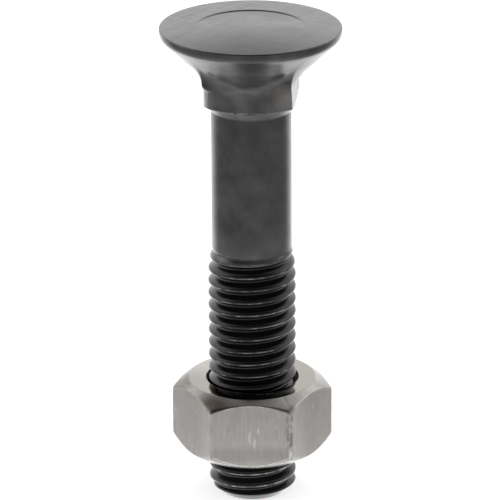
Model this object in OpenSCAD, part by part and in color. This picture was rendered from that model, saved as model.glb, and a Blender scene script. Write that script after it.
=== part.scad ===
// Plow bolt with a countersunk head, a short square neck and a right-hand metric thread,
// standing on its threaded end, with a plain hexagon nut run part of the way up the thread.
// The origin is the centre of the bolt's end face, and +Z runs up the bolt to its head.

/* [Head] */
// Length of the bolt from its end face to the top of its head
bolt_length = 65; // [58:0.5:90]
// Diameter of the countersunk head
head_d = 24.1; // [22:0.1:28]
// Height of the rim round the head, from its top to where its side would meet the cone
rim_h = 0.95; // [0.85:0.05:2]
// Rounding of the rim's upper edge
rim_round = 0.3; // [0.1:0.05:0.35]
// Rounding of the rim's lower edge, which leads into the cone
rim_under = 0.9; // [0.2:0.1:1]
// Included angle of the cone under the head
cone_angle = 92; // [80:1:100]
// Radius of the fillet that leads the cone into the neck
cone_fillet = 0.6; // [0.3:0.1:2]
// Diameter of the shallow round recess that the heading punch leaves on the top face
recess_d = 14.1; // [8:0.1:18]
// Depth of that recess
recess_depth = 0.15; // [0.05:0.05:0.5]

/* [Square neck] */
// Width of the square neck across its flats
neck_w = 11.9; // [11.3:0.1:12.7]
// Radius of the neck's upright corners
neck_corner = 0.6; // [0.2:0.1:1.5]
// Height of the neck's flats, from the end of the cone's fillet to the bevel
neck_h = 2.9; // [2:0.1:8]
// Turn of the square about the axis, which the thread's start leaves to chance
neck_turn = -5.4; // [-45:0.2:45]
// Angle between the axis and the bevel that trims the neck's lower corners
bevel_angle = 70; // [45:1:75]
// Radius of the fillet between that bevel and the shank
bevel_fillet = 1; // [0.5:0.1:2.5]

/* [Shank and thread] */
// Diameter of the plain shank, which is the size of the blank before the thread is rolled
shank_d = 10.65; // [10.2:0.05:11]
// Diameter over the thread's crests
thread_d = 11.7; // [11.5:0.05:12]
// Pitch of the thread
thread_pitch = 1.75; // [1.25:0.25:2]
// Length of the full thread, from the end face
thread_length = 30.75; // [24:0.25:36]
// Length over which the thread runs out into the shank
runout_length = 4; // [1.8:0.1:5]
// Height of the lowest crest on the +X side
thread_start = 1.1; // [0:0.05:2]
// Diameter of the flat end face
end_d = 9.6; // [8.5:0.1:9.8]
// Included angle of the chamfer at the end
end_angle = 90; // [60:5:120]

/* [Nut] */
// Width of the nut across its flats
nut_w = 18.6; // [17.8:0.1:19.5]
// Height of the nut
nut_h = 9.9; // [6:0.1:12]
// Height of the nut's lower face above the bolt's end face
nut_z = 6.1; // [2:0.1:18]
// Diameter of the flat ring that bears on the work, on both faces
nut_face_d = 17; // [16:0.1:17.6]
// Angle of the chamfer that trims the nut's corners, from the plane of its faces
nut_chamfer = 34; // [15:1:36]
// Width of the 45 degree countersink at each mouth of the bore
nut_mouth = 0.3; // [0.1:0.05:0.8]
// Turn of the nut about the axis
nut_turn = -1.2; // [-30:0.2:30]
// Clearance between the bore and the thread's crests, all round
bore_clearance = 0.1; // [0.05:0.05:0.15]

/* [Hidden] */

$fn = 96;
arc_steps = 8;          // straight steps that stand for each small rounding of a profile
overlap = 0.8;          // how far solids that are one piece of steel reach into each other
cone_inset = 0.15;      // how far the round core under the cone lies inside the neck's flats
fade_inset = 0.04;      // how far the faded end of the thread lies inside the shank
thread_sides = 30;      // corners in one turn of the thread
form_rows = 4;          // corners of the thread form in one pitch: two on the crest, two on the root
spare_turns = 2;        // turns of rows past each end, which all lie on that end's edge
black_steel = [0.20, 0.20, 0.21];
bare_steel = [0.63, 0.61, 0.59];

head_r = head_d / 2;
shank_r = shank_d / 2;
cone_half = cone_angle / 2;
neck_half = neck_w / 2;
neck_reach = (neck_half - neck_corner) * sqrt(2) + neck_corner;   // axis to a neck corner
cone_end_r = neck_half - cone_inset;
rim_low = bolt_length - rim_h;
rim_under_z = rim_low + rim_under * tan(cone_half / 2);           // centre of the lower rounding
cone_r = head_r - rim_under * (1 - cos(cone_half));               // where that rounding ends
cone_z = rim_under_z - rim_under * sin(cone_half);
cone_meet_z = cone_z - (cone_r - cone_end_r) / tan(cone_half);
cone_low = cone_meet_z - cone_fillet * tan(cone_half / 2);
neck_low = cone_low - neck_h;
bevel_meet_z = neck_low - (neck_half - shank_r) / tan(bevel_angle);
shank_low = thread_length + runout_length;

// Thread form: a 60 degree rolled thread with its crest a quarter of the pitch wide
crest_share = 1 / 4;
root_share = 1 / 8;
flank_angle = 30;
thread_depth = thread_pitch * (1 - crest_share - root_share) / 2 / tan(flank_angle);
crest_r = thread_d / 2;
root_r = crest_r - thread_depth;
fade_r = shank_r - fade_inset;

// Point at distance r from the centre c, at angle a
function polar(c, r, a) = [c[0] + r * cos(a), c[1] + r * sin(a)];

// Arc about the centre c from angle a0 to angle a1
function arc(c, r, a0, a1) = [for (i = [0 : arc_steps]) polar(c, r, a0 + (a1 - a0) * i / arc_steps)];

// Half section of the head: recessed top, rounded rim, cone and the fillet down to the neck
function head_profile() =
    concat(
        [[0, bolt_length - recess_depth],
         [recess_d / 2, bolt_length - recess_depth],
         [recess_d / 2 + recess_depth, bolt_length]],
        arc([head_r - rim_round, bolt_length - rim_round], rim_round, 90, 0),
        arc([head_r - rim_under, rim_under_z], rim_under, 0, -cone_half),
        arc([cone_end_r + cone_fillet, cone_low], cone_fillet, 180 - cone_half, 180),
        [[cone_end_r, cone_low - overlap], [0, cone_low - overlap]]
    );

// Half section that turns a square bar down to the shank: shank, fillet, bevel and the bar's corners
function turned_profile(top) =
    let (
        fillet_c = [shank_r + bevel_fillet, bevel_meet_z - bevel_fillet * tan(bevel_angle / 2)],
        bar_r = neck_reach + overlap
    )
    concat(
        [[0, shank_low], [shank_r, shank_low]],
        arc(fillet_c, bevel_fillet, 180, 180 - bevel_angle),
        [[bar_r, bevel_meet_z + (bar_r - shank_r) / tan(bevel_angle)], [bar_r, top], [0, top]]
    );

// Square with round corners
module rounded_square(w, r) {
    square([w, w - 2 * r], center = true);
    square([w - 2 * r, w], center = true);
    for (x = [-1, 1], y = [-1, 1])
        translate([x, y] * (w / 2 - r))
            circle(r);
}

// Square bar whose corners stay within the head, turned down below the neck
module neck_and_shank() {
    cone_depth = (head_r - neck_reach) / tan(cone_half);
    bar_top = rim_low - cone_depth / 2;
    intersection() {
        translate([0, 0, shank_low])
            rotate(neck_turn)
                linear_extrude(bar_top - shank_low)
                    rounded_square(neck_w, neck_corner);
        rotate_extrude()
            polygon(turned_profile(bar_top));
    }
}

// Height of one corner of the thread form: crest from row 0 to 1, root from row 2 to 3 of each pitch
function row_height(row, side) =
    let (
        shares = [-crest_share / 2, crest_share / 2, 0.5 - root_share / 2, 0.5 + root_share / 2],
        turns = floor(row / form_rows) - spare_turns + side / thread_sides
    )
    thread_start + thread_pitch * (turns + shares[row % form_rows]);

// Radius there: full thread, faded out into the shank at the top and chamfered at the end
function row_radius(row, z) =
    let (
        full = row % form_rows < 2 ? crest_r : root_r,
        left = max(0, min(1, (shank_low - z) / runout_length)),
        faded = fade_r + (full - fade_r) * sin(90 * left)
    )
    min(faded, end_d / 2 + z * tan(end_angle / 2));

function row_point(row, side) =
    let (z = max(0, min(shank_low + overlap, row_height(row, side))))
    let (r = row_radius(row, z))
    [r * cos(360 * side / thread_sides), r * sin(360 * side / thread_sides), z];

// Rolled thread: one skin over rows that climb a pitch in each turn, so that the last side of a row
// joins the first side of the same row of the next pitch up
module rolled_thread() {
    pitches = ceil((shank_low + overlap - thread_start) / thread_pitch);
    rows = form_rows * (pitches + 2 * spare_turns);
    points = [for (side = [0 : thread_sides - 1], row = [0 : rows - 1]) row_point(row, side)];
    function at(side, row) =
        side < thread_sides ? side * rows + row : min(row + form_rows, rows - 1);
    skin = [
        for (side = [0 : thread_sides - 1], row = [0 : rows - 2])
            each [
                [at(side, row), at(side, row + 1), at(side + 1, row + 1)],
                [at(side, row), at(side + 1, row + 1), at(side + 1, row)]
            ]
    ];
    end_face = [for (side = [0 : thread_sides - 1]) at(side, 0)];
    top_face = [for (side = [thread_sides - 1 : -1 : 0]) at(side, rows - 1)];
    polyhedron(points, concat(skin, [end_face, top_face]));
}

module countersunk_bolt() {
    color(black_steel)
        union() {
            rotate_extrude()
                polygon(head_profile());
            neck_and_shank();
            rolled_thread();
        }
}

// Half section that trims the nut's corners at both ends
function nut_profile() =
    let (
        face_r = nut_face_d / 2,
        past_r = nut_w / 2 / cos(30) + overlap,
        drop = (past_r - face_r) * tan(nut_chamfer)
    )
    [[0, 0], [face_r, 0], [past_r, drop], [past_r, nut_h - drop], [face_r, nut_h], [0, nut_h]];

module hex_nut() {
    bore_r = crest_r + bore_clearance;
    past_r = bore_r + nut_mouth + overlap;
    color(bare_steel)
        translate([0, 0, nut_z])
            rotate(nut_turn)
                difference() {
                    intersection() {
                        cylinder(h = nut_h, d = nut_w / cos(30), $fn = 6);
                        rotate_extrude()
                            polygon(nut_profile());
                    }
                    translate([0, 0, -overlap])
                        cylinder(h = nut_h + 2 * overlap, r = bore_r);
                    translate([0, 0, -overlap])
                        cylinder(h = overlap + nut_mouth, r1 = past_r, r2 = bore_r);
                    translate([0, 0, nut_h - nut_mouth])
                        cylinder(h = overlap + nut_mouth, r1 = bore_r, r2 = past_r);
                }
}

countersunk_bolt();
hex_nut();
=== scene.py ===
import math

import bmesh
import bpy
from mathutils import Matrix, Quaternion, Vector, noise


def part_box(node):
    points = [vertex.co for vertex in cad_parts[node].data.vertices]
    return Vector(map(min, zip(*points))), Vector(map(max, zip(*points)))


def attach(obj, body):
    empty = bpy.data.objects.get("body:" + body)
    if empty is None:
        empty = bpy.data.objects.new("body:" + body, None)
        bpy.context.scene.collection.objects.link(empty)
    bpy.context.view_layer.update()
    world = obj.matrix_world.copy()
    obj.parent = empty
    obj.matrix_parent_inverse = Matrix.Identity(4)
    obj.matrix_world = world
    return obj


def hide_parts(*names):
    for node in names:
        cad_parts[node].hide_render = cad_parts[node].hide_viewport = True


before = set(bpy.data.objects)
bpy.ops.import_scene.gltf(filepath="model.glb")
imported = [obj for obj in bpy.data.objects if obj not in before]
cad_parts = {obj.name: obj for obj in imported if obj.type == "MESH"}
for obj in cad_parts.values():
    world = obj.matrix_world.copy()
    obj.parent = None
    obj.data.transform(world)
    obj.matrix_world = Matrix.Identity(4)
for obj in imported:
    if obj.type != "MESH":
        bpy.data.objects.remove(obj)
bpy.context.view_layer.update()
mm = 0.001


# Screw thread: the bolt's is rolled between dies, which squeeze the blank up into a rounded crest, with a
# pale line painted along its lip as a painted highlight, and the nut's is tapped to fit it. One tree makes
# both skins from a grid whose rows climb one pitch in each turn, so that every row keeps its own place on
# the thread form.
pitch = 1.75 * mm
first_crest = 1.1 * mm          # height of the lowest crest on the +X side
crest_share, root_share = 1 / 4, 1 / 8
rows_in_pitch = 16
thread_depth = pitch * (1 - crest_share - root_share) / 2 / math.tan(math.radians(30))


def add_node(tree, kind, inputs=None, **settings):
    """Adds one node; an input is given as a value or as the socket to link from."""
    node = tree.nodes.new(kind)
    for name, value in settings.items():
        setattr(node, name, value)
    for key, value in (inputs or {}).items():
        if isinstance(value, bpy.types.NodeSocket):
            tree.links.new(value, node.inputs[key])
        else:
            node.inputs[key].default_value = value
    return node


screw = bpy.data.node_groups.new("screw_thread", "GeometryNodeTree")
for kind, names in (
    ("Int", ("Columns", "Pitches", "First Pitch", "Folds", "Closed End")),
    ("Float", ("Crowding", "First Turn", "Crest Radius", "Root Radius", "Low End", "High End",
               "Run-out", "Faded Radius", "End Radius", "Mouth Radius")),
    ("Material", ("Material",)),
):
    for name in names:
        screw.interface.new_socket(name, in_out="INPUT", socket_type="NodeSocket" + kind)
screw.interface.new_socket("Geometry", in_out="OUTPUT", socket_type="NodeSocketGeometry")
given = add_node(screw, "NodeGroupInput").outputs
value = {socket.name: socket for socket in given if socket.name}
place = add_node(screw, "GeometryNodeInputPosition").outputs[0]
value["across"], value["up"], _ = add_node(screw, "ShaderNodeSeparateXYZ", {0: place}).outputs
for result, operation, *operands in (
    ("grid columns", "ADD", "Columns", 1),
    ("grid rows", "MULTIPLY_ADD", "Pitches", rows_in_pitch, 1),
    # Share of a turn, with the columns crowded together at each fold
    ("around", "ADD", "across", 0.5),
    ("crowded", "MULTIPLY", "around", "Folds"),
    ("crowded", "MULTIPLY", "crowded", math.tau),
    ("crowded", "SINE", "crowded"),
    ("crowded", "MULTIPLY", "crowded", "Crowding"),
    ("crowded", "DIVIDE", "crowded", "Folds"),
    ("crowded", "DIVIDE", "crowded", math.tau),
    ("turn", "ADD", "around", "crowded"),
    ("turn", "ADD", "turn", "First Turn"),
    # Pitches above the lowest crest, which are whole numbers on a crest, and the height there
    ("climb", "ADD", "up", 0.5),
    ("climb", "MULTIPLY_ADD", "climb", "Pitches", "First Pitch"),
    ("height", "ADD", "climb", "turn"),
    ("height", "MULTIPLY_ADD", "height", pitch, first_crest),
    ("z", "MINIMUM", "height", "High End"),
    ("z", "MAXIMUM", "z", "Low End"),
    # Thread form: 0 over the crest, 1 over the root and a straight flank between
    ("off crest", "PINGPONG", "climb", 0.5),
    ("flank", "SUBTRACT", "off crest", crest_share / 2),
    ("flank", "DIVIDE", "flank", (1 - crest_share - root_share) / 2),
    ("flank", "MAXIMUM", "flank", 0),
    ("flank", "MINIMUM", "flank", 1),
    ("depth", "SUBTRACT", "Root Radius", "Crest Radius"),
    ("radius", "MULTIPLY_ADD", "flank", "depth", "Crest Radius"),
    # Rounded crest, highest a little below its middle
    ("off middle", "WRAP", "climb", 0.5, -0.5),
    ("bow", "MINIMUM", "off middle", crest_share / 2),
    ("bow", "MAXIMUM", "bow", -crest_share / 2),
    ("bow", "ADD", "bow", 0.045),
    ("bow", "DIVIDE", "bow", crest_share / 2),
    ("bow", "MULTIPLY", "bow", "bow"),
    ("on crest", "SUBTRACT", 1, "flank"),
    ("bow", "MULTIPLY", "bow", "on crest"),
    ("radius", "MULTIPLY_ADD", "bow", -0.06 * mm, "radius"),
    # Run-out at the high end, where the root is cut before the crest is full
    ("drop", "SUBTRACT", "High End", "z"),
    ("full", "DIVIDE", "drop", "Run-out"),
    ("full", "MINIMUM", "full", 1),
    ("full", "MULTIPLY", "full", math.pi / 2),
    ("full", "SINE", "full"),
    ("cut", "MULTIPLY_ADD", "flank", 0.8, 1),
    ("cut", "MULTIPLY", "cut", "full"),
    ("cut", "MINIMUM", "cut", 1),
    ("radius", "SUBTRACT", "radius", "Faded Radius"),
    ("radius", "MULTIPLY_ADD", "radius", "cut", "Faded Radius"),
    # Chamfer at the low end of a screw, and the countersunk mouths of a nut
    ("rise", "SUBTRACT", "z", "Low End"),
    ("chamfer", "ADD", "End Radius", "rise"),
    ("radius", "MINIMUM", "radius", "chamfer"),
    ("mouth", "MINIMUM", "rise", "drop"),
    ("mouth", "SUBTRACT", "Mouth Radius", "mouth"),
    ("radius", "MAXIMUM", "radius", "mouth"),
    # Rows past the low end close it with a flat face
    ("past", "SUBTRACT", "Low End", "height"),
    ("past", "DIVIDE", "past", pitch),
    ("past", "SUBTRACT", "past", 1 / rows_in_pitch),
    ("past", "MAXIMUM", "past", 0),
    ("past", "MINIMUM", "past", 1),
    ("past", "MULTIPLY", "past", "Closed End"),
    ("past", "SUBTRACT", 1, "past"),
    ("radius", "MULTIPLY", "radius", "past"),
    # Lip: 1 along the highest line of a full crest, where a pale line is painted as a painted highlight
    ("lip", "ADD", "off middle", crest_share / 4),
    ("lip", "ABSOLUTE", "lip"),
    ("lip", "MULTIPLY_ADD", "lip", -rows_in_pitch, 1),
    ("lip", "MAXIMUM", "lip", 0),
    ("short", "SUBTRACT", "Crest Radius", "radius"),
    ("short", "MULTIPLY_ADD", "short", -1 / (0.9 * mm), 1),
    ("short", "MAXIMUM", "short", 0),
    ("lip", "MULTIPLY", "lip", "short"),
    ("shown", "MULTIPLY", "cut", 4),
    ("shown", "MINIMUM", "shown", 1),
    ("lip", "MULTIPLY", "lip", "shown"),
    # Rolled: 1 over the thread, fading out with a run-out, but not at the mouths of a nut
    ("rolled", "SUBTRACT", "cut", 0.45),
    ("rolled", "MULTIPLY", "rolled", 3),
    ("rolled", "MULTIPLY_ADD", "Mouth Radius", 1 / mm, "rolled"),
    ("rolled", "MINIMUM", "rolled", 1),
    ("rolled", "MAXIMUM", "rolled", 0),
    ("angle", "MULTIPLY", "turn", math.tau),
    ("cosine", "COSINE", "angle"),
    ("sine", "SINE", "angle"),
    ("x", "MULTIPLY", "radius", "cosine"),
    ("y", "MULTIPLY", "radius", "sine"),
):
    sources = {i: value.get(operand, operand) for i, operand in enumerate(operands)}
    value[result] = add_node(screw, "ShaderNodeMath", sources, operation=operation).outputs[0]
grid = add_node(screw, "GeometryNodeMeshGrid", {
    "Size X": 1.0, "Size Y": 1.0, "Vertices X": value["grid columns"], "Vertices Y": value["grid rows"]})
marked = grid
for name in ("lip", "rolled"):
    marked = add_node(screw, "GeometryNodeStoreNamedAttribute", {
        "Geometry": marked.outputs[0], "Name": name, "Value": value[name]}, data_type="FLOAT", domain="POINT")
point = add_node(screw, "ShaderNodeCombineXYZ", {0: value["x"], 1: value["y"], 2: value["z"]})
wound = add_node(screw, "GeometryNodeSetPosition", {
    "Geometry": marked.outputs[0], "Position": point.outputs[0]})
real = add_node(screw, "GeometryNodeRealizeInstances", {0: wound.outputs[0]})
surfaced = add_node(screw, "GeometryNodeSetMaterial", {
    "Geometry": real.outputs[0], "Material": value["Material"]})
add_node(screw, "NodeGroupOutput", {0: surfaced.outputs[0]})


def thread_mesh(sizes):
    """Plain mesh of one thread, from sizes named as the tree's inputs."""
    carrier = bpy.data.objects.new("thread", bpy.data.meshes.new("thread"))
    bpy.context.scene.collection.objects.link(carrier)
    modifier = carrier.modifiers.new("thread", "NODES")
    modifier.node_group = screw
    for item in screw.interface.items_tree:
        if item.in_out == "INPUT":
            modifier[item.identifier] = sizes[item.name]
    evaluated = carrier.evaluated_get(bpy.context.evaluated_depsgraph_get())
    mesh = bpy.data.meshes.new_from_object(evaluated)
    bpy.data.objects.remove(carrier)
    return mesh


def column_angles(columns, folds, crowding, first_turn):
    """Angles of a thread's columns, for the rings of points that join on to it."""
    shares = [j / columns for j in range(columns)]
    return [math.tau * (first_turn + u + crowding * math.sin(math.tau * folds * u) / (math.tau * folds))
            for u in shares]


# Black steel: the bolt is forged from bar, quenched in oil and left dark. The eye sees a satin charcoal
# skin that mirrors softly, brightest along its outline, with a faint mottle, fine scratches on the head
# and thin pale lines along the lips of the thread: painted highlights, where the lips also rub bare.
def linear(code):
    """Linear colour of an sRGB code such as #8a8a8a."""
    shares = [int(code[i:i + 2], 16) / 255 for i in (1, 3, 5)]
    return [*(s / 12.92 if s <= 0.04045 else ((s + 0.055) / 1.055) ** 2.4 for s in shares), 1.0]


def object_mm(tree):
    """Place on the object in mm, as a vector and as x, y and z."""
    place = add_node(tree, "ShaderNodeTexCoord").outputs["Object"]
    scaled = add_node(tree, "ShaderNodeVectorMath", {0: place, "Scale": 1 / mm}, operation="SCALE").outputs[0]
    return scaled, *add_node(tree, "ShaderNodeSeparateXYZ", {0: scaled}).outputs


def stretched(tree, spot, factors):
    """Place with its x, y and z each multiplied by a factor."""
    return add_node(tree, "ShaderNodeVectorMath", {0: spot, 1: factors}, operation="MULTIPLY").outputs[0]


def distance(tree, spot, centre):
    """Distance of a place from a fixed point."""
    return add_node(tree, "ShaderNodeVectorMath", {0: spot, 1: centre}, operation="DISTANCE").outputs["Value"]


def compute(tree, operation, *operands):
    """Result of one operation on values or sockets."""
    return add_node(tree, "ShaderNodeMath", dict(enumerate(operands)), operation=operation).outputs[0]


def ramp(tree, value, start, end, low=0.0, high=1.0, kind="LINEAR"):
    """Low where the value is at the start, high where it is at the end, and level beyond them."""
    return add_node(tree, "ShaderNodeMapRange", {
        "Value": value, 1: start, 2: end, 3: low, 4: high}, interpolation_type=kind).outputs[0]


def clouds(tree, spot, scale, detail=2.0, roughness=0.5, distortion=0.0):
    """Soft noise round 0.5, with about so many patches to each mm of the place given."""
    return add_node(tree, "ShaderNodeTexNoise", {
        "Vector": spot, "Scale": scale, "Detail": detail, "Roughness": roughness,
        "Distortion": distortion}).outputs["Fac"]


def tinted(tree, share, under, over):
    """Colour with a share of another over it, each a code or a socket."""
    under, over = (linear(c) if isinstance(c, str) else c for c in (under, over))
    return add_node(tree, "ShaderNodeMix", {"Factor": share, 6: under, 7: over}, data_type="RGBA").outputs[2]


black_steel = bpy.data.materials.new("black_steel")
black_steel.use_nodes = True
tree = black_steel.node_tree
shader = tree.nodes["Principled BSDF"]
shader.inputs["Metallic"].default_value = 1.0
at, x_mm, y_mm, z_mm = object_mm(tree)
# Scale of the forging, in blotches about 3 mm across, over a dark skin
mottle = ramp(tree, clouds(tree, at, 0.32, 5.0, 0.62), 0.32, 0.68)
colour = tinted(tree, mottle, "#4f4e50", "#646363")
# The neck keeps the rough scale of the die
forged = compute(tree, "MULTIPLY", ramp(tree, z_mm, 54.4, 55.0), ramp(tree, z_mm, 58.4, 57.4))
blotch = ramp(tree, clouds(tree, at, 0.3, 1.0, 0.4), 0.3, 0.62)
colour = tinted(tree, compute(tree, "MULTIPLY", forged, blotch), colour, "#7a797b")
# The neck's two front corners: painted shade at the top, where the die left them short, and a scuff below,
# given as place, reach, depth, tone
for spot, reach, depth, tone in (
    ((-6.2, -4.5, 59.0), 1.8, 0.45, "#37363a"),
    ((4.6, -6.2, 59.3), 1.3, 0.7, "#37363a"),
    ((-5.8, -4.6, 56.6), 1.6, 0.5, "#9a9690"),
    ((4.9, -5.7, 57.2), 2.4, 0.8, "#9a9690"),
):
    near = ramp(tree, distance(tree, at, spot), reach, 0.25 * reach, 0.0, depth)
    colour = tinted(tree, near, colour, tone)
# The collar below the neck is painted lighter towards its sides, a painted reflection
collar = compute(tree, "MULTIPLY", ramp(tree, z_mm, 53.8, 54.0), ramp(tree, z_mm, 54.95, 54.85))
side_reflection = ramp(tree, compute(tree, "ABSOLUTE", x_mm), 2.2, 4.6, 0.0, 0.45)
colour = tinted(tree, compute(tree, "MULTIPLY", side_reflection, collar), colour, "#9a9690")
# The neck's lower edge is rubbed here and there
off_edge = compute(tree, "ABSOLUTE", compute(tree, "SUBTRACT", z_mm, 55.0))
chips = ramp(tree, clouds(tree, at, 1.1), 0.42, 0.6, 0.0, 0.7)
chips = compute(tree, "MULTIPLY", chips, ramp(tree, off_edge, 0.16, 0.04))
colour = tinted(tree, chips, colour, "#a3a19c")
# The face of the head: fine scratches two ways, and darker and duller towards the front
face = ramp(tree, z_mm, 64.93, 64.97)
marks = 1.0
for turn, spacing in ((0.5, 2.2), (-0.9, 1.5)):
    turned = add_node(tree, "ShaderNodeVectorRotate", {"Vector": at, "Angle": turn}, rotation_type="Z_AXIS")
    drawn = stretched(tree, turned.outputs[0], (0.12, spacing, 0.0))
    marks = compute(tree, "MULTIPLY", marks, clouds(tree, drawn, 1.0, 3.0, distortion=0.8))
marks = compute(tree, "MULTIPLY", ramp(tree, marks, 0.16, 0.34), face)
colour = tinted(tree, marks, colour, "#6b6a6a")
front_darkening = ramp(tree, distance(tree, at, (0.0, -15.0, 65.0)), 21.0, 2.0, 0.0, 0.72, "SMOOTHSTEP")
front_darkening = compute(tree, "MULTIPLY", front_darkening, face)
colour = tinted(tree, front_darkening, colour, "#202021")
# Rolling leaves the thread darker, and a patchy pale line is painted along its lips: a painted highlight,
# where the lips also rub bare
rolled = add_node(tree, "ShaderNodeAttribute", attribute_name="rolled").outputs["Fac"]
colour = tinted(tree, rolled, colour, "#424143")
lip = add_node(tree, "ShaderNodeAttribute", attribute_name="lip").outputs["Fac"]
lip_highlight_and_rub = compute(tree, "MULTIPLY", lip, ramp(tree, clouds(tree, at, 0.9, 3.0), 0.42, 0.7))
colour = tinted(tree, lip_highlight_and_rub, colour, "#a3a19c")
tree.links.new(colour, shader.inputs["Base Color"])
# A fine grain all over, duller on the forged scale, on the front and back of the cone and towards the front
# of the face
grain = clouds(tree, at, 3.5, 4.0, 0.6)
rough = compute(tree, "MULTIPLY_ADD", forged, 0.06, ramp(tree, grain, 0.0, 1.0, 0.18, 0.24))
under = compute(tree, "MULTIPLY", ramp(tree, z_mm, 57.0, 58.6), ramp(tree, z_mm, 64.2, 63.4))
off_middle = compute(tree, "ABSOLUTE", compute(tree, "ADD", x_mm, 0.9))
under = compute(tree, "MULTIPLY", under, ramp(tree, off_middle, 2.0, 6.5, 1.0, 0.0))
rough = compute(tree, "MULTIPLY_ADD", under, 0.16, rough)
rough = compute(tree, "MULTIPLY_ADD", front_darkening, 0.3, rough)
tree.links.new(rough, shader.inputs["Roughness"])
bump = add_node(tree, "ShaderNodeBump", {"Strength": 0.08, "Distance": 0.02 * mm, "Height": grain})
tree.links.new(bump.outputs[0], shader.inputs["Normal"])


# Bolt: one piece of steel. A flat head with a rounded rim runs down in a cone to a short square neck,
# whose corners the die has not quite filled, then comes the turned bevel below the square, the plain
# shank and the rolled thread, chamfered at the end that the bolt stands on.
bolt_low, bolt_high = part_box("countersunk_bolt")
lean = 0.05 * mm
bolt_top, head_r = bolt_high.z, min(bolt_high.x, bolt_high.y) - lean
rim_low, rim_under, rim_round = bolt_top - 0.95 * mm, 1.3 * mm, 0.15 * mm
cone_half = math.radians(46)
recess_r, recess_depth = 7.05 * mm, 0.1 * mm
neck_half, neck_turn, neck_corner = 5.95 * mm, math.radians(-5.4), 0.5 * mm
shank_r, shank_low, crest_r = 5.325 * mm, 34.75 * mm, 5.85 * mm
collar_low, collar_half = 53.85 * mm, math.radians(24)
shoulder_low, shoulder_half = 54.87 * mm, math.radians(71)
bolt_columns, bolt_folds, bolt_crowding = 176, 4, -0.65
bolt_first = (math.degrees(neck_turn) + 45) / 360


def rounded(corners, steps):
    """Points along a half section, given as radius, height and rounding for each of its corners."""
    points = []
    for i, (r, z, rounding) in enumerate(corners):
        here = Vector((r, z))
        if not rounding:
            points.append(here)
            continue
        before = (Vector(corners[i - 1][:2]) - here).normalized()
        after = (Vector(corners[i + 1][:2]) - here).normalized()
        half = before.angle(after) / 2
        centre = here + (before + after).normalized() * rounding / math.sin(half)
        start = here + before * rounding / math.tan(half) - centre
        end = here + after * rounding / math.tan(half) - centre
        points += [centre + start.lerp(end, k / steps).normalized() * rounding for k in range(steps + 1)]
    return points


def soft_max(a, b, blend):
    """The larger of two lengths, with a rounded change from one to the other."""
    near = max(blend - abs(a - b), 0) / blend
    return max(a, b) + near * near * blend / 4


def prism_reach(angle, sides, half, corner):
    """Distance from the axis to the side of a prism with rounded corners, the first side square to +X."""
    sector = math.tau / sides
    off_flat = abs((angle + sector / 2) % sector - sector / 2)
    if half * math.tan(off_flat) <= (half - corner) * math.tan(sector / 2):
        return half / math.cos(off_flat)
    centre = (half - corner) / math.cos(sector / 2)
    off_corner = sector / 2 - off_flat
    return centre * math.cos(off_corner) + math.sqrt(corner ** 2 - (centre * math.sin(off_corner)) ** 2)


def add_rings(bm, rings):
    """Joins each ring of points to the next; a ring of one point is the middle of a fan."""
    made = [[bm.verts.new(p) for p in ring] for ring in rings]
    for low, high in zip(made, made[1:]):
        for j in range(len(low)):
            k = (j + 1) % len(low)
            corners = dict.fromkeys((low[j], low[k], high[k % len(high)], high[j % len(high)]))
            bm.faces.new(list(corners))
    return made


def finish_piece(bm, name, material):
    """Closes the seams of a mesh, points its faces outward and makes it a piece."""
    bmesh.ops.remove_doubles(bm, verts=bm.verts, dist=0.001 * mm)
    bmesh.ops.recalc_face_normals(bm, faces=bm.faces)
    mesh = bpy.data.meshes.new(name)
    bm.to_mesh(mesh)
    bm.free()
    mesh.materials.append(material)
    mesh.polygons.foreach_set("use_smooth", [True] * len(mesh.polygons))
    piece = bpy.data.objects.new(name, mesh)
    bpy.context.scene.collection.objects.link(piece)
    return piece


def turned_radius(z):
    """Shank, the short collar above it and the shoulder under the square."""
    collar = shank_r + (z - collar_low) * math.tan(collar_half)
    shoulder = neck_half + (z - shoulder_low) * math.tan(shoulder_half)
    return soft_max(soft_max(shank_r, collar, 0.06 * mm), shoulder, 0.12 * mm)


def neck_radius(angle, z):
    """Cone, square neck and shoulder, softened where they meet, with two corners that the die left short."""
    cone = head_r - (rim_low - z) * math.tan(cone_half)
    square = prism_reach(angle - neck_turn, 4, neck_half, neck_corner)
    off_cut = math.remainder(angle - math.radians(207), math.tau)
    if abs(off_cut) < math.radians(60):
        cut = (7.3 + 1.2 * min(max((z / mm - 57.7) / 1.0, 0), 1)) * mm / math.cos(off_cut)
        square = -soft_max(-square, -cut, 0.7 * mm)
    off_short = math.remainder(angle - neck_turn + math.radians(45), math.tau) / math.radians(11)
    square -= 0.22 * mm * math.exp(-off_short ** 2) * min(max((z / mm - 56.4) / 2.6, 0), 1)
    off_flat = abs(math.remainder(angle - neck_turn, math.pi / 2)) / math.radians(22)
    blend = (0.6 + 1.1 * min(off_flat, 1) ** 1.5) * mm
    r = soft_max(cone, -soft_max(-square, -turned_radius(z), 0.22 * mm), blend)
    share = min(max((r - shank_r) / (0.6 * mm), 0), 1) * min(max((61 * mm - z) / (2 * mm), 0), 1)
    spot = Vector((r * math.cos(angle), r * math.sin(angle), z)) / mm
    return r + share * (0.05 * noise.noise(spot * 0.55) + 0.02 * noise.noise(spot * 1.7)) * mm


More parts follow.
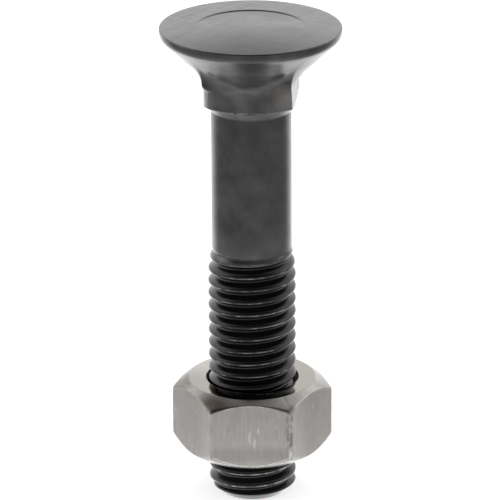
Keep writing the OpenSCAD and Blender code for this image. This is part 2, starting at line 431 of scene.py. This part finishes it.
angles = column_angles(bolt_columns, bolt_folds, bolt_crowding, bolt_first)
heights = [shank_low, 38 * mm, 44 * mm, 46 * mm, 50 * mm, 52.5 * mm]
while heights[-1] < 61.2 * mm:
    heights.append(heights[-1] + (0.06 if 53.6 * mm < heights[-1] < 56.0 * mm else 0.1) * mm)
rings = []
for z in heights:
    leant = lean * min(max((z - 46 * mm) / (14 * mm), 0), 1)
    radii = [neck_radius(a, z) for a in angles]
    rings.append([(r * math.cos(a) - leant, r * math.sin(a), z) for a, r in zip(angles, radii)])
section = rounded([
    (head_r - (rim_low - 62 * mm) * math.tan(cone_half), 62 * mm, 0),
    (head_r - (rim_low - 63 * mm) * math.tan(cone_half), 63 * mm, 0),
    (head_r, rim_low, rim_under),
    (head_r, bolt_top, rim_round),
    (11.3 * mm, bolt_top, 0), (9.5 * mm, bolt_top, 0), (7.8 * mm, bolt_top, 0),
    (recess_r + recess_depth, bolt_top, 0.05 * mm), (recess_r, bolt_top - recess_depth, 0.05 * mm),
    (6.5 * mm, bolt_top - recess_depth, 0), (4 * mm, bolt_top - recess_depth, 0),
    (1.5 * mm, bolt_top - recess_depth, 0),
], 8)


def struck(r, z, angle):
    """Point of the head, where the punch struck a little off the middle and deeper at the back."""
    sunk = max(z - (bolt_top - recess_depth), 0) / recess_depth if r < recess_r + recess_depth else 1
    back = min(max(r * math.sin(angle) / recess_r + 0.2, 0), 1)
    share = back * back * (3 - 2 * back)
    lift = (1 - sunk) * (1 - share) * recess_depth
    off_middle = 0.4 * mm * min(max((11.3 * mm - r) / (3.5 * mm), 0), 1)
    return (r * math.cos(angle) - lean, r * math.sin(angle) + off_middle, z + lift)


rings += [[struck(r, z, a) for a in angles] for r, z in section]
rings.append([struck(0, bolt_top - recess_depth, 0)])
bm = bmesh.new()
bm.from_mesh(thread_mesh({
    "Columns": bolt_columns, "Folds": bolt_folds, "Crowding": bolt_crowding, "First Turn": bolt_first,
    "First Pitch": -2, "Pitches": 23, "Crest Radius": crest_r, "Root Radius": crest_r - thread_depth,
    "Low End": bolt_low.z, "High End": shank_low, "Run-out": 4 * mm, "Faded Radius": shank_r,
    "End Radius": 4.6 * mm, "Mouth Radius": 0.0, "Closed End": 1, "Material": black_steel}))
add_rings(bm, rings)
bolt = finish_piece(bm, "forged_bolt", black_steel)
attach(bolt, "bolt")
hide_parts("countersunk_bolt")


# Bare steel: the nut is pressed from bar, tapped and left unplated. The eye sees a grey, slightly warm
# metal, with fine streaks down its flats where it left the die, small scratches and a faint brown stain.
bare_steel = bpy.data.materials.new("bare_steel")
bare_steel.use_nodes = True
tree = bare_steel.node_tree
shader = tree.nodes["Principled BSDF"]
shader.inputs["Metallic"].default_value = 1.0
at, x_mm, y_mm, z_mm = object_mm(tree)
# Streaks of the die down the flats, about 0.3 mm apart, with larger dull and clear patches over them
streak = clouds(tree, stretched(tree, at, (3.0, 3.0, 0.25)), 1.0, 4.0, 0.6)
colour = tinted(tree, streak, "#85837f", "#b2b0ad")
patches = ramp(tree, clouds(tree, at, 0.55, 4.0, 0.7), 0.35, 0.7, 0.0, 0.55)
colour = tinted(tree, patches, colour, "#a9a8a8")
# Faces that look up or down are smooth from the press, the chamfers are stained or clear, the flats bare
facing = add_node(tree, "ShaderNodeNewGeometry").outputs["True Normal"]
tilt = compute(tree, "ABSOLUTE", add_node(tree, "ShaderNodeSeparateXYZ", {0: facing}).outputs[2])
flat_ring = ramp(tree, tilt, 0.93, 0.98)
off_ring = compute(tree, "SUBTRACT", 1.0, flat_ring)
sloped = ramp(tree, tilt, 0.15, 0.5)
chamfer = compute(tree, "MULTIPLY", sloped, off_ring)
clear = compute(tree, "MULTIPLY", ramp(tree, x_mm, -2.5, 0.5, 0.0, 0.55), ramp(tree, x_mm, 9.5, 7.5))
colour = tinted(tree, compute(tree, "MULTIPLY", clear, chamfer), colour, "#bdbbb7")
stain = clouds(tree, at, 0.35, 5.0, 0.65)
stain_and_shade = compute(tree, "MULTIPLY", ramp(tree, stain, 0.48, 0.66, 0.0, 0.4), chamfer)
# Two corners and one side of the chamfer carry most of the stain, given as place, reach and depth
for spot, reach, depth in (
    ((-5.6, -9.0, 15.1), 3.8, 1.0),
    ((5.6, -9.2, 15.0), 1.1, 0.9),
    ((-9.6, -0.6, 15.6), 4.0, 0.8),
):
    near = ramp(tree, distance(tree, at, spot), reach, 0.4 * reach, 0.0, depth)
    stain_and_shade = compute(tree, "MAXIMUM", stain_and_shade, compute(tree, "MULTIPLY", near, chamfer))
# The flats to the left and right are darker and browner, and a band low on the front is painted darker, a
# painted reflection of the table's shadow
front = ramp(tree, y_mm, -8.8, -9.1)
off_band = compute(tree, "ABSOLUTE", compute(tree, "SUBTRACT", z_mm, 8.3))
band = compute(tree, "MULTIPLY", ramp(tree, off_band, 1.5, 0.5, 0.0, 0.28), front)
stain_and_shade = compute(tree, "MAXIMUM", stain_and_shade, band)
beside = ramp(tree, compute(tree, "ABSOLUTE", x_mm), 5.2, 7.5, 0.0, 0.38)
beside = compute(tree, "MULTIPLY", beside, compute(tree, "SUBTRACT", 1.0, sloped))
stain_and_shade = compute(tree, "MAXIMUM", stain_and_shade, beside)
# Stain and the darker side flats, with painted shade in the low band on the front
colour = tinted(tree, stain_and_shade, colour, "#645c54")
# The front right corner was struck: it is dark and pitted halfway up, a little into the front flat too
off_blow = compute(tree, "ABSOLUTE", compute(tree, "SUBTRACT", z_mm, 11.7))
struck = compute(tree, "MULTIPLY", ramp(tree, x_mm, 4.2, 5.0), ramp(tree, x_mm, 5.4, 5.2))
struck = compute(tree, "MULTIPLY", struck, ramp(tree, off_blow, 2.6, 2.0))
struck = compute(tree, "MULTIPLY", struck, front)
pits = ramp(tree, clouds(tree, stretched(tree, at, (2.2, 2.2, 1.1)), 1.0), 0.42, 0.54, 0.1, 0.85)
colour = tinted(tree, compute(tree, "MULTIPLY", pits, struck), colour, "#565553")
ring = tinted(tree, ramp(tree, distance(tree, at, (-6.0, 5.0, 16.0)), 6.0, 1.5), "#8f8b84", "#a5a29d")
colour = tinted(tree, flat_ring, colour, ring)
# Thin bright scratches here and there
lines = clouds(tree, stretched(tree, at, (1.5, 1.5, 0.22)), 1.0)
lines = compute(tree, "COMPARE", lines, 0.5, 0.012)
where = compute(tree, "MULTIPLY", ramp(tree, stain, 0.46, 0.38, 0.0, 0.4), off_ring)
scratched = compute(tree, "MULTIPLY", lines, where)
# Three short rubs near the middle of the front flat, given as x, z, bend and half length in mm
for x, z, bend, half in ((-0.45, 10.9, 0.14, 1.2), (0.2, 10.0, 0.3, 0.8), (0.75, 11.9, -0.5, 0.5)):
    rise = compute(tree, "SUBTRACT", z_mm, z)
    bowed = compute(tree, "MULTIPLY_ADD", compute(tree, "MULTIPLY", rise, rise), bend, x)
    off_line = compute(tree, "ABSOLUTE", compute(tree, "SUBTRACT", x_mm, bowed))
    ends = ramp(tree, compute(tree, "ABSOLUTE", rise), half, 0.4 * half, 0.0, 0.5)
    rub = compute(tree, "MULTIPLY", ramp(tree, off_line, 0.2, 0.05), ends)
    scratched = compute(tree, "MAXIMUM", scratched, compute(tree, "MULTIPLY", rub, front))
# Edges painted bright, with pits: rubbed, and a painted highlight along the arcs, brightest at the front, and
# down the front right corner; but not where the blow fell
edge = add_node(tree, "ShaderNodeAttribute", attribute_name="edge").outputs["Fac"]
worn_and_glint = compute(tree, "MULTIPLY", edge, ramp(tree, clouds(tree, at, 1.3, 3.0), 0.35, 0.6))
worn_and_glint = compute(tree, "MULTIPLY", worn_and_glint, compute(tree, "MULTIPLY_ADD", struck, -0.85, 1.0))
bright = compute(tree, "MAXIMUM", worn_and_glint, scratched)
colour = tinted(tree, bright, colour, "#dddbd7")
# The tapped thread and its mouths are dark: oily, and painted shade inside the bore
tapped = add_node(tree, "ShaderNodeAttribute", attribute_name="rolled").outputs["Fac"]
colour = tinted(tree, tapped, colour, "#2a2827")
tree.links.new(colour, shader.inputs["Base Color"])
# Satin flats, a smooth ring, dull scratches and a dull thread
rough = ramp(tree, streak, 0.0, 1.0, 0.22, 0.36)
for share, level in ((flat_ring, 0.1), (bright, 0.5), (tapped, 0.65)):
    rough = add_node(tree, "ShaderNodeMix", {0: share, 2: rough, 3: level}).outputs[0]
tree.links.new(rough, shader.inputs["Roughness"])
bump = add_node(tree, "ShaderNodeBump", {"Strength": 0.2, "Distance": 0.01 * mm, "Height": streak})
tree.links.new(bump.outputs[0], shader.inputs["Normal"])


# Nut: a plain hexagon, chamfered at both ends so that its flats end in arcs, with a flat ring to bear on
# the work, countersunk mouths and a tapped thread that follows the bolt's with a little play.
nut_low, nut_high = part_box("hex_nut")
nut_half, nut_turn, nut_corner = 9.3 * mm, math.radians(-1.2), 0.3 * mm
face_r, mouth_r, nut_chamfer = 8.5 * mm, 6.2 * mm, math.radians(34)
thread_play = 0.1 * mm
nut_columns, nut_folds, nut_crowding = 240, 6, -0.8
nut_first = math.degrees(nut_turn) / 360


def nut_section(angle):
    """Half section of the nut in one direction, from the upper mouth out and down to the lower mouth."""
    reach = prism_reach(angle - nut_turn - math.pi / 6, 6, nut_half, nut_corner)
    fall = (reach - face_r) * math.tan(nut_chamfer)
    rounding = 0.12 * mm + 0.6 * max(reach - nut_half, 0)
    upper = [(mouth_r, nut_high.z, 0), (mouth_r + 0.06 * mm, nut_high.z, 0),
             (7.2 * mm, nut_high.z, 0), (face_r, nut_high.z, 0.5 * mm),
             (reach, nut_high.z - fall, rounding)]
    lower = [(r, nut_low.z + nut_high.z - z, rounding) for r, z, rounding in reversed(upper)]
    start = fall + 0.53 * rounding + 0.14 * mm
    step = (nut_high.z - nut_low.z - 2 * start) / 11
    flat = [(reach, nut_high.z - start - k * step, 0) for k in range(12)]
    return rounded(upper + flat + lower, 4)


def struck_share(angle):
    """1 at the front right corner, which has taken the most knocks, fading to 0 on either side."""
    return math.exp(-(math.remainder(angle - nut_turn + math.radians(60), math.tau) / 0.3) ** 2)


def nicked(angle, r, z):
    """Point of the nut, a little aside on the bolt, knocked back along its edges and uneven on its flats."""
    corner = math.radians(60)
    off_corner = abs(math.remainder(angle - nut_turn, corner))
    share = max(1 - off_corner / math.radians(2.5), 0)
    spot = Vector((r * math.cos(angle), r * math.sin(angle), z)) / mm
    dent = share * max(noise.noise(spot * 1.6) + 0.2, 0) * (0.02 + 0.14 * struck_share(angle)) * mm
    wave = 0.012 * mm * noise.noise(spot * 0.35)
    aside = 0.045 * mm * min(max((r - 6.3 * mm) / mm, 0), 1)
    r -= (dent + abs(wave)) if r > face_r else 0
    return (r * math.cos(angle) - aside, r * math.sin(angle), z)


angles = column_angles(nut_columns, nut_folds, nut_crowding, nut_first)
sections = [nut_section(a) for a in angles]
rings = [[nicked(a, *s[i]) for a, s in zip(angles, sections)] for i in range(len(sections[0]))]
bm = bmesh.new()
bm.from_mesh(thread_mesh({
    "Columns": nut_columns, "Folds": nut_folds, "Crowding": nut_crowding, "First Turn": nut_first,
    "First Pitch": 1, "Pitches": 9, "Crest Radius": crest_r + thread_play,
    "Root Radius": crest_r - thread_depth + thread_play, "Low End": nut_low.z, "High End": nut_high.z,
    "Run-out": 0.001 * mm, "Faded Radius": mouth_r, "End Radius": 1.0, "Mouth Radius": mouth_r,
    "Closed End": 0, "Material": bare_steel}))
edge_layer = bm.verts.layers.float.new("edge")
first_edge, last_edge = 12, len(rings) - 13    # rings that end the roundings above and below the flats
# The edge attribute carries painted highlights: along the arcs where the flats meet the chamfers, brightest
# at the front, and down the upright corners, strongest at the front right, where they are also rubbed and
# nicked
for i, ring in enumerate(add_rings(bm, rings)):
    for angle, vert in zip(angles, ring):
        off_corner = abs(math.remainder(angle - nut_turn, math.radians(60)))
        upright = max(1 - off_corner / math.radians(2), 0) if first_edge <= i <= last_edge else 0
        arc = 1 if i in (first_edge, last_edge) else 0
        front = max(-math.sin(angle), 0) ** 6
        vert[edge_layer] = max(upright * (0.25 + 0.75 * struck_share(angle)), (0.3 + 0.7 * front) * arc)
nut = finish_piece(bm, "hexagon_nut", bare_steel)
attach(nut, "nut")
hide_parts("hex_nut")


# Studio: a white table that fades into white all round, softboxes to the left and right and a weak one
# above, and a long lens a little above the bolt.
table = bpy.data.meshes.new("table")
table.from_pydata([(-3, -3, 0), (3, -3, 0), (3, 3, 0), (-3, 3, 0)], [], [(0, 1, 2, 3)])
floor = bpy.data.objects.new("table", table)
bpy.context.scene.collection.objects.link(floor)
white = bpy.data.materials.new("white_table")
white.use_nodes = True
tree = white.node_tree
shader = tree.nodes["Principled BSDF"]
shader.inputs["Base Color"].default_value = linear("#f4f4f4")
shader.inputs["Roughness"].default_value = 0.9
shader.inputs["Specular IOR Level"].default_value = 0.0
shader.inputs["Emission Color"].default_value = linear("#ffffff")
shader.inputs["Emission Strength"].default_value = 0.6
seen = add_node(tree, "ShaderNodeLightPath").outputs
place = add_node(tree, "ShaderNodeTexCoord").outputs["Object"]
heading = add_node(tree, "ShaderNodeVectorMath", {0: place}, operation="NORMALIZE").outputs[0]
heading = add_node(tree, "ShaderNodeSeparateXYZ", {0: heading}).outputs
# In the steel, the table is pale behind the bolt, grey in front of it and pale again close to it
rear = ramp(tree, heading[1], 0.28, 0.85, 0.5, 1.5, "SMOOTHSTEP")
close = compute(tree, "MULTIPLY", distance(tree, place, (0, 0, 0)), -1 / 0.035)
shade = compute(tree, "MULTIPLY_ADD", compute(tree, "EXPONENT", close), 1.4, rear)
mirrored = add_node(tree, "ShaderNodeEmission", {"Color": linear("#ffffff"), "Strength": shade})
surface = add_node(tree, "ShaderNodeMixShader", {
    0: seen["Is Glossy Ray"], 1: shader.outputs[0], 2: mirrored.outputs[0]})
tree.links.new(surface.outputs[0], tree.nodes["Material Output"].inputs[0])
table.materials.append(white)

world = bpy.data.worlds.new("studio")
world.use_nodes = True
bpy.context.scene.world = world
tree = world.node_tree
seen = add_node(tree, "ShaderNodeLightPath").outputs
towards = add_node(tree, "ShaderNodeTexCoord").outputs["Generated"]
towards = add_node(tree, "ShaderNodeSeparateXYZ", {0: towards}).outputs
# In the steel, the room is bright behind the bolt, less so overhead, and dark above the lens
overhead = ramp(tree, towards[2], 0.4, 0.95, 1.4, 0.5, "SMOOTHSTEP")
before = ramp(tree, towards[2], 0.2, 0.45, 0.3, 0.05, "SMOOTHSTEP")
behind = ramp(tree, towards[1], -0.6, 0.25, before, 1.0, "SMOOTHSTEP")
mirrored = compute(tree, "MULTIPLY", overhead, behind)
level = add_node(tree, "ShaderNodeMix", {0: seen["Is Glossy Ray"], 2: 0.45, 3: mirrored}).outputs[0]
level = add_node(tree, "ShaderNodeMix", {0: seen["Is Camera Ray"], 2: level, 3: 1.0}).outputs[0]
tree.links.new(level, tree.nodes["Background"].inputs["Strength"])
tree.nodes["Background"].inputs["Color"].default_value = linear("#ffffff")

for name, spot, size, power in (
    ("left_softbox", (-0.75, -0.15, 0.45), 0.5, 1.8),
    ("right_softbox", (0.75, 0.05, 0.40), 0.5, 1.8),
    ("top_softbox", (0.0, 0.25, 0.9), 0.6, 1.6),
):
    lamp = bpy.data.lights.new(name, "AREA")
    lamp.size, lamp.energy = size, power
    box = bpy.data.objects.new(name, lamp)
    box.location = spot
    box.rotation_euler = (Vector((0, 0, 0.03)) - Vector(spot)).to_track_quat("-Z", "Y").to_euler()
    box.visible_glossy = False
    bpy.context.scene.collection.objects.link(box)

elevation, far, target = math.radians(20.394), 0.59323, Vector((-0.00025, 0, 0.0340))
lens = bpy.data.cameras.new("camera")
lens.sensor_fit, lens.sensor_width, lens.lens = "HORIZONTAL", 36.0, 321.84
camera = bpy.data.objects.new("camera", lens)
back = Vector((0, -math.cos(elevation), math.sin(elevation)))
camera.location = target + back * far
camera.rotation_euler = (
    (-back).to_track_quat("-Z", "Y") @ Quaternion((0, 0, 1), math.radians(-0.25))).to_euler()
bpy.context.scene.collection.objects.link(camera)
bpy.context.scene.camera = camera
bpy.context.scene.view_settings.view_transform = "Standard"
